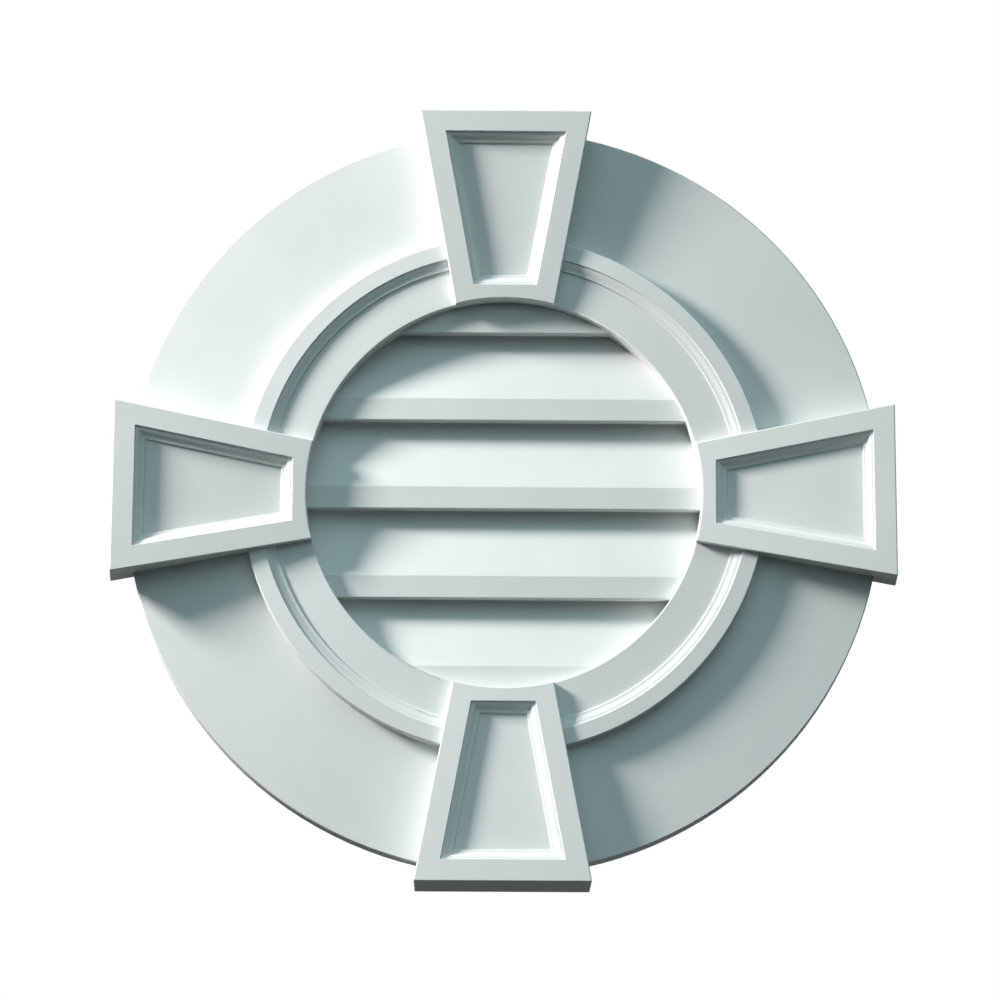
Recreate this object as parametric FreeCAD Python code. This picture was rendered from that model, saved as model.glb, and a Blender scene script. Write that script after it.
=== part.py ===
# Round gable vent with four keystones, moulded in one piece of rigid foam.
# The front faces -Y, +X is to the right and +Z is up, all in millimetres.
# The origin is on the wall plane, at the centre of the louvred opening.
# A height is a distance forward of the wall plane.
import FreeCAD
import Part
import math
import os

# Round surround, from the opening outwards
opening_radius = 203.2
ring_border = 37.6  # low flat between the opening and the trim
ring_flat = 17.2  # raised flat outside the trim
ring_draft = 4.0  # degrees, outer wall of the raised ring
disc_width = 118.8  # flat of the disc, from the foot of the ring to the rim
disc_height = 29.7
ring_rise = 15.3  # raised flat over the disc
rim_draft = 3.0  # degrees, rim of the disc
edge_round = 1.2  # softened edges of the opening and the keystones
edge_bevel = 1.0  # eased edges of the ring and the rim

# Stepped ogee trims, a shallow one on the ring and a deep one round the keystones' panels
trim_lean = 0.7  # how far a step leans out of square
ogee_width = 9.8
ring_step = 2.1  # height of each of the two steps
ring_ogee_rise = 2.6
panel_step = 2.5
panel_ogee_rise = 6.0

# Keystones, each a block whose front leans in towards the opening
keystone_count = 4
keystone_length = 203.2  # from the opening's edge to the outer end, at the wall
keystone_stand = 2.4  # front face over the level of the raised ring, at the opening's edge
keystone_lean = 5.6  # degrees, front face against the wall plane
keystone_width = 178.4  # across the outer end of the front face
keystone_taper = 10.5  # degrees, each side
panel_border = 22.0  # flat margin at the panel's outer end and sides
panel_sill = 13.9  # flat margin beside the opening

# Louvre slats
slat_count = 5
top_lip_drop = 32.9  # lower edge of the highest lip, below the top of the opening
sill_height = 1.1  # lower edge of the lowest lip, above the bottom of the opening
lip_height = 23.4
lip_setback = 12.2  # lips' faces behind the low flat of the ring
lip_round = 1.5
slat_foot = 12.5  # depth of the flat underside
slat_back_edge = 2.0  # blunt edge at the wall plane
slat_overlap = 8.0  # back edge of a slat over the lip in front of it
slat_embed = 3.0  # slat ends moulded into the surround

# Sizes that follow
trim_width = 2 * trim_lean + ogee_width
panel_depth = 2 * panel_step + panel_ogee_rise
ring_height = disc_height + ring_rise
border_height = ring_height - 2 * ring_step - ring_ogee_rise
trim_radius = opening_radius + ring_border + trim_width
slat_pitch = (2 * opening_radius - top_lip_drop - sill_height) / (slat_count - 1)
lip_front = border_height - lip_setback
lean = math.radians(keystone_lean)
taper = math.radians(keystone_taper)
keystone_rise = ring_height + keystone_stand + keystone_length * math.tan(lean)
projection = keystone_rise * math.cos(lean) ** 2
reach_at_wall = opening_radius + keystone_length
reach_at_front = reach_at_wall - projection * math.tan(lean)

origin = FreeCAD.Vector(0, 0, 0)
wall_axis = FreeCAD.Vector(0, 1, 0)
sideways = FreeCAD.Vector(1, 0, 0)
# Directions on the top keystone's front face
outward = FreeCAD.Vector(0, -math.sin(lean), math.cos(lean))
forward = FreeCAD.Vector(0, -math.cos(lean), -math.sin(lean))


def line(start, end):
    return Part.LineSegment(start, end).toShape()


def filled(edges):
    return Part.Face(Part.Wire(Part.__sortEdges__(edges)))


def rounded_outline(corners):
    """Edges of a closed outline through (point, radius) corners, with an arc at each that has a radius."""
    runs = []
    for i, (point, radius) in enumerate(corners):
        back = (corners[i - 1][0] - point).normalize()
        ahead = (corners[(i + 1) % len(corners)][0] - point).normalize()
        half_angle = back.getAngle(ahead) / 2
        setback = radius / math.tan(half_angle)
        depth = radius / math.sin(half_angle) - radius
        middle = point + (back + ahead).normalize() * depth
        runs.append((point + back * setback, middle, point + ahead * setback, radius > 0))
    edges = []
    for i, (start, middle, end, is_round) in enumerate(runs):
        if is_round:
            edges.append(Part.Arc(start, middle, end).toShape())
        edges.append(line(end, runs[(i + 1) % len(runs)][0]))
    return edges


def trim_edges(step, ogee_rise, place):
    """Edges of a trim from its upper edge down, where place turns (inward, down) into a point."""
    arc_radius = (ogee_width**2 + ogee_rise**2) / (4 * ogee_rise)
    half_turn = math.asin(ogee_width / (2 * arc_radius)) / 2
    bow = arc_radius * math.sin(half_turn)
    dip = arc_radius * (1 - math.cos(half_turn))
    ogee_foot = trim_lean + ogee_width
    ogee_floor = step + ogee_rise
    step_foot = place(trim_lean, step)
    crown = place(trim_lean + bow, step + dip)
    middle = place(trim_lean + ogee_width / 2, step + ogee_rise / 2)
    hollow = place(ogee_foot - bow, ogee_floor - dip)
    step_head = place(ogee_foot, ogee_floor)
    return [
        line(place(0, 0), step_foot),
        Part.Arc(step_foot, crown, middle).toShape(),
        Part.Arc(middle, hollow, step_head).toShape(),
        line(step_head, place(trim_width, ogee_floor + step)),
    ]


def surround():
    """The flat disc with the raised ring, turned about the wall axis."""

    def at(radius, height):
        return FreeCAD.Vector(radius, -height, 0)

    ring_radius = trim_radius + ring_flat
    ring_foot = ring_radius + ring_rise * math.tan(math.radians(ring_draft))
    disc_radius = ring_foot + disc_width
    rim_foot = disc_radius + disc_height * math.tan(math.radians(rim_draft))
    corners = [
        (at(trim_radius - trim_width, border_height), 0),
        (at(opening_radius, border_height), edge_round),
        (at(opening_radius, 0), 0),
        (at(rim_foot, 0), 0),
        (at(disc_radius, disc_height - edge_bevel), 0),
        (at(disc_radius - edge_bevel, disc_height), 0),
        (at(ring_foot, disc_height), 0),
        (at(ring_radius, ring_height - edge_bevel), 0),
        (at(ring_radius - edge_bevel, ring_height), 0),
        (at(trim_radius, ring_height), 0),
    ]
    # The trim takes the place of the straight run that closes the outline
    edges = rounded_outline(corners)[:-1]

    def on_ring(inward, down):
        return at(trim_radius - inward, ring_height - down)

    edges += trim_edges(ring_step, ring_ogee_rise, on_ring)
    return filled(edges).revolve(origin, wall_axis, 360)


def opening_core(margin=0):
    """A core through the opening, widened by the margin."""
    start = FreeCAD.Vector(0, -2 * projection, 0)
    return Part.makeCylinder(opening_radius + margin, 3 * projection, start, wall_axis)


def on_front(side, along):
    """A point on the top keystone's front face, from the middle of its outer end."""
    return FreeCAD.Vector(side, -projection, reach_at_front) + outward * along


def keystone_block():
    """The top keystone without its panel: a leaning tapered block, trimmed by the wall and the opening."""
    outer_half = keystone_width / 2
    inner_end = (opening_radius / 2 - reach_at_front) / math.cos(lean)
    inner_half = outer_half + inner_end * math.tan(taper)
    corners = [(-outer_half, 0), (outer_half, 0), (inner_half, inner_end), (-inner_half, inner_end)]
    front = Part.Face(Part.makePolygon([on_front(*corner) for corner in corners + corners[:1]]))
    block = front.extrude(forward * (-2 * projection))
    behind_wall = Part.makeBox(
        2 * reach_at_wall,
        3 * projection,
        3 * reach_at_wall,
        FreeCAD.Vector(-reach_at_wall, 0, -reach_at_wall),
    )
    block = block.cut(behind_wall).cut(opening_core())

    # Soften the edges of the front face and the two corners of the outer end
    def softened(edge):
        ends = [vertex.Point - on_front(0, 0) for vertex in edge.Vertexes]
        on_face = all(abs(end.dot(forward)) < 1e-6 for end in ends)
        at_corner = any(all(abs(end.x - x) < 1e-6 for end in ends) for x in (-outer_half, outer_half))
        return on_face or at_corner

    return block.makeFillet(edge_round, [edge for edge in block.Edges if softened(edge)])


def panel_side(start, inward):
    """The open space inside one side of the panel's trim, far longer than the side."""
    far = 2 * reach_at_wall
    along = inward.cross(forward)

    def place(in_from_edge, down):
        return start + inward * in_from_edge - forward * down - along * far

    edges = trim_edges(panel_step, panel_ogee_rise, place)
    edges += [
        line(place(trim_width, panel_depth), place(far, panel_depth)),
        line(place(far, panel_depth), place(far, -projection)),
        line(place(far, -projection), place(0, -projection)),
        line(place(0, -projection), place(0, 0)),
    ]
    return filled(edges).extrude(along * (2 * far))


def keystone_panel():
    """The space of the top keystone's sunk panel: what the four mitred sides of its trim enclose."""
    sill_along = (opening_radius + panel_sill - reach_at_front) / math.cos(lean)
    edge_half = keystone_width / 2 - panel_border / math.cos(taper)
    up_the_side = outward * math.sin(taper)
    panel = panel_side(on_front(0, -panel_border), outward * -1)
    panel = panel.common(panel_side(on_front(0, sill_along), outward))
    panel = panel.common(panel_side(on_front(edge_half, 0), up_the_side - sideways * math.cos(taper)))
    return panel.common(panel_side(on_front(-edge_half, 0), up_the_side + sideways * math.cos(taper)))


def slat(lip_bottom, is_lowest):
    """One slat across the opening: an upright lip, with a face that slopes up and back from it."""
    end = opening_radius + 2 * slat_embed

    def at(height, up):
        return FreeCAD.Vector(-end, -height, lip_bottom + up)

    top = slat_pitch + slat_overlap
    rise_per_depth = (top - lip_height) / (lip_front - slat_back_edge)
    foot_back = lip_front - slat_foot
    corners = [
        (at(lip_front, lip_height), lip_round),
        (at(slat_back_edge, top), 0),
        (at(0, top), 0),
    ]
    if is_lowest:
        # The lowest slat is solid down into the surround
        corners += [(at(0, -end - lip_bottom), 0), (at(lip_front, -end - lip_bottom), 0)]
    else:
        corners += [
            (at(0, foot_back * rise_per_depth), 0),
            (at(foot_back, 0), lip_round),
            (at(lip_front, 0), lip_round),
        ]
    blade = filled(rounded_outline(corners)).extrude(sideways * (2 * end))
    return blade.common(opening_core(slat_embed))


def louvre():
    lowest = sill_height - opening_radius
    return [slat(lowest + i * slat_pitch, i == 0) for i in range(slat_count)]


def all_round(shape):
    """A copy of the shape at each keystone's place."""
    copies = []
    for i in range(keystone_count):
        copy = shape.copy()
        copy.rotate(origin, wall_axis, i * 360 / keystone_count)
        copies.append(copy)
    return copies


body = surround().multiFuse(all_round(keystone_block()))
body = body.cut(all_round(keystone_panel()))
vent = body.multiFuse(louvre()).removeSplitter()
print("solids", len(vent.Solids), "valid", vent.isValid(), "volume", round(vent.Volume))
print("overall", 2 * reach_at_wall, "projection", round(projection, 2), "slat pitch", slat_pitch)

os.makedirs("parts", exist_ok=True)
vent.Solids[0].exportStep("parts/vent_body.step")
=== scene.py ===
import math

import bpy
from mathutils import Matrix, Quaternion, Vector

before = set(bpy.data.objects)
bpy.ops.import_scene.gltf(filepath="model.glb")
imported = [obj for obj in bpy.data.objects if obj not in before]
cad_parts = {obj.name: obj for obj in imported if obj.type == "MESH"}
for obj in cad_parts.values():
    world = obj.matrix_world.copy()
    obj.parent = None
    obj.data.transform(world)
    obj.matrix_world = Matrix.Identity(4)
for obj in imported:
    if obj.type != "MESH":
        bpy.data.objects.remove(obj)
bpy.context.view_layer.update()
scene = bpy.context.scene
scene.view_settings.view_transform = "Standard"
print("frame loaded:", sorted(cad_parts))


def linear(hexColour):
    parts = [int(hexColour[i:i + 2], 16) / 255 for i in (1, 3, 5)]
    parts = [c / 12.92 if c <= 0.04045 else ((c + 0.055) / 1.055) ** 2.4 for c in parts]
    return (*parts, 1.0)


def addNode(tree, kind, settings=None, values=None, links=None):
    # settings go on the node, values on its inputs, links from other nodes' outputs to its inputs
    node = tree.nodes.new(kind)
    for name, value in (settings or {}).items():
        setattr(node, name, value)
    for name, value in (values or {}).items():
        node.inputs[name].default_value = value
    for name, output in (links or {}).items():
        tree.links.new(output, node.inputs[name])
    return node


def metres(millimetres):
    return millimetres / 1000


def perMetre(millimetres):
    return 1 / metres(millimetres)


def seenRay(tree):
    # 1 for rays from the camera and for reflections, 0 for light on its way to a surface
    path = addNode(tree, "ShaderNodeLightPath").outputs
    shiny = addNode(
        tree, "ShaderNodeMath", {"operation": "MAXIMUM"},
        links={0: path["Is Glossy Ray"], 1: path["Is Transmission Ray"]},
    )
    return addNode(
        tree, "ShaderNodeMath", {"operation": "MAXIMUM"},
        links={0: path["Is Camera Ray"], 1: shiny.outputs[0]},
    ).outputs[0]


# Polyurethane foam, cast in a polished mould and factory primed: a closed skin under sprayed primer,
# which gives the eye a chalky satin white with a slight cool cast, soft broad highlights on the
# rounded edges, a faint orange peel close up and flats that are not quite dead flat
primedFoam = {
    "tone": "#dbdddc",
    "thinTone": "#d7dad9",  # where the spray went on lighter
    "toneSize": 70.0,  # mm, patches of the two tones
    "toneDetail": 3.0,
    "toneEdges": (0.35, 0.65),  # noise levels between which the tones blend
    "peelSize": 3.0,  # mm, drops of the spray, drawn a little coarse so that they show
    "peelDetail": 2.0,
    "peelDepth": 0.02,  # mm
    "swellSize": 120.0,  # mm, slow swell of the cast skin
    "swellDetail": 1.0,
    "swellDepth": 0.2,  # mm
    "edgeSoftness": 0.7,  # mm, primer drawn round the sharp edges of the trims
    "edgeSamples": 6,
    "roughness": (0.56, 0.66),
    "ior": 1.5,
}


def makePrimedFoam(look):
    material = bpy.data.materials.new("primedPolyurethaneFoam")
    material.use_nodes = True
    tree = material.node_tree
    tree.nodes.clear()
    place = addNode(tree, "ShaderNodeTexCoord").outputs["Object"]

    def noise(name):
        return addNode(
            tree, "ShaderNodeTexNoise",
            values={"Scale": perMetre(look[name + "Size"]), "Detail": look[name + "Detail"]},
            links={"Vector": place},
        ).outputs["Fac"]

    peel = noise("peel")
    ramp = addNode(tree, "ShaderNodeValToRGB", links={"Fac": noise("tone")})
    for stop, position, tone in zip(ramp.color_ramp.elements, look["toneEdges"], ("thinTone", "tone")):
        stop.position = position
        stop.color = linear(look[tone])
    softEdge = addNode(
        tree, "ShaderNodeBevel", {"samples": look["edgeSamples"]},
        values={"Radius": metres(look["edgeSoftness"])},
    )
    swellBump = addNode(
        tree, "ShaderNodeBump",
        values={"Distance": metres(look["swellDepth"])},
        links={"Height": noise("swell"), "Normal": softEdge.outputs["Normal"]},
    )
    peelBump = addNode(
        tree, "ShaderNodeBump",
        values={"Distance": metres(look["peelDepth"])},
        links={"Height": peel, "Normal": swellBump.outputs["Normal"]},
    )
    sheen = addNode(
        tree, "ShaderNodeMapRange",
        values={"To Min": look["roughness"][0], "To Max": look["roughness"][1]},
        links={"Value": peel},
    )
    skin = addNode(
        tree, "ShaderNodeBsdfPrincipled",
        values={"IOR": look["ior"]},
        links={
            "Base Color": ramp.outputs["Color"],
            "Roughness": sheen.outputs["Result"],
            "Normal": peelBump.outputs["Normal"],
        },
    )
    addNode(tree, "ShaderNodeOutputMaterial", links={"Surface": skin.outputs["BSDF"]})
    return material


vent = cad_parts["vent_body"]
vent.data.materials.clear()
vent.data.materials.append(makePrimedFoam(primedFoam))
print("vent dressed:", vent.data.materials[0].name)

# Below the camera, which looks up at the vent on its wall
floor = {"drop": 2.6, "side": 60.0, "tone": "#f2f2f0", "roughness": 0.9, "lift": 0.3}


def makeFloor(look):
    bpy.ops.mesh.primitive_plane_add(size=look["side"], location=(0, 0, -look["drop"]))
    sheet = bpy.context.object
    sheet.name = "studioFloor"
    material = bpy.data.materials.new("paintedFloor")
    material.use_nodes = True
    tree = material.node_tree
    tree.nodes.clear()
    paint = addNode(
        tree, "ShaderNodeBsdfPrincipled",
        values={"Base Color": linear(look["tone"]), "Roughness": look["roughness"]},
    )
    # Lifted towards white where it is seen, so that it stays pale and still shows a shadow
    glow = addNode(tree, "ShaderNodeEmission", values={"Color": linear(look["tone"])})
    lift = addNode(
        tree, "ShaderNodeMath", {"operation": "MULTIPLY"},
        values={1: look["lift"]},
        links={0: seenRay(tree)},
    )
    both = addNode(
        tree, "ShaderNodeMixShader",
        links={0: lift.outputs[0], 1: paint.outputs[0], 2: glow.outputs[0]},
    )
    addNode(tree, "ShaderNodeOutputMaterial", links={"Surface": both.outputs[0]})
    sheet.data.materials.append(material)
    # No light bounces from it onto the vent's undersides
    sheet.visible_diffuse = False


makeFloor(floor)
print("floor laid")

# A soft lamp to the upper left, low over the wall, so that every step throws a long shadow
keyLamp = {
    "toLamp": (-0.835, -0.299, 0.463),
    "distance": 2.8,
    "size": 0.65,
    "power": 163.0,
    "tone": "#fffaf7",
}
# White seen behind the vent, a cool patch of light high in front of it and a weak one on its back;
# a patch grows from nothing to its strength between two cosines to its direction
room = {
    "backdrop": "#ffffff",
    "above": {"toward": (0.0, -0.7, 0.71), "edges": (0.5, 0.97), "strength": 1.0, "tone": "#d4fcff"},
    "behind": {"toward": (0.0, 0.8, 0.6), "edges": (0.6, 0.95), "strength": 0.55, "tone": "#f6fbff"},
}


def makeLight(lampLook, roomLook):
    lamp = bpy.data.lights.new("keyLamp", "AREA")
    lamp.shape = "DISK"
    lamp.size = lampLook["size"]
    lamp.energy = lampLook["power"]
    lamp.color = linear(lampLook["tone"])[:3]
    lampObject = bpy.data.objects.new("keyLamp", lamp)
    scene.collection.objects.link(lampObject)
    toLamp = Vector(lampLook["toLamp"]).normalized()
    lampObject.location = toLamp * lampLook["distance"]
    lampObject.rotation_euler = (-toLamp).to_track_quat("-Z", "Y").to_euler()

    world = bpy.data.worlds.new("studioRoom")
    scene.world = world
    world.use_nodes = True
    tree = world.node_tree
    tree.nodes.clear()
    direction = addNode(tree, "ShaderNodeTexCoord").outputs["Generated"]

    def softPatch(patch):
        facing = addNode(
            tree, "ShaderNodeVectorMath", {"operation": "DOT_PRODUCT"},
            values={1: Vector(patch["toward"]).normalized()},
            links={0: direction},
        )
        strength = addNode(
            tree, "ShaderNodeMapRange", {"interpolation_type": "SMOOTHSTEP"},
            values={
                "From Min": patch["edges"][0],
                "From Max": patch["edges"][1],
                "To Max": patch["strength"],
            },
            links={"Value": facing.outputs["Value"]},
        )
        return addNode(
            tree, "ShaderNodeBackground",
            values={"Color": linear(patch["tone"])},
            links={"Strength": strength.outputs["Result"]},
        ).outputs[0]

    fill = addNode(
        tree, "ShaderNodeAddShader",
        links={0: softPatch(roomLook["above"]), 1: softPatch(roomLook["behind"])},
    )
    backdrop = addNode(
        tree, "ShaderNodeBackground",
        values={"Color": linear(roomLook["backdrop"]), "Strength": 1.0},
    )
    both = addNode(
        tree, "ShaderNodeMixShader",
        links={0: seenRay(tree), 1: fill.outputs[0], 2: backdrop.outputs[0]},
    )
    addNode(tree, "ShaderNodeOutputWorld", links={"Surface": both.outputs[0]})


makeLight(keyLamp, room)
print("light set")

# The photograph's view, a long lens a little below the vent;
# degrees, metres and pixels of its 1000 px frame
viewpoint = {
    "azimuth": 0.577,
    "elevation": -10.689,
    "roll": 0.261,
    "distance": 3.2667,
    "focalPixels": 3142.0,
    "centrePixel": (503.78, 498.74),
    "framePixels": 1000.0,
    "clipEnd": 100.0,
}


def makeCamera(view):
    turn = math.radians(view["azimuth"])
    rise = math.radians(-view["elevation"])
    ahead = Vector((math.sin(turn) * math.cos(rise), math.cos(turn) * math.cos(rise), math.sin(rise)))
    camera = bpy.data.cameras.new("camera")
    camera.lens = camera.sensor_width * view["focalPixels"] / view["framePixels"]
    camera.shift_x = 0.5 - view["centrePixel"][0] / view["framePixels"]
    camera.shift_y = view["centrePixel"][1] / view["framePixels"] - 0.5
    camera.clip_end = view["clipEnd"]
    cameraObject = bpy.data.objects.new("camera", camera)
    scene.collection.objects.link(cameraObject)
    cameraObject.location = -ahead * view["distance"]
    level = ahead.to_track_quat("-Z", "Y")
    cameraObject.rotation_mode = "QUATERNION"
    cameraObject.rotation_quaternion = level @ Quaternion((0, 0, 1), math.radians(view["roll"]))
    scene.camera = cameraObject


makeCamera(viewpoint)
print("camera set")
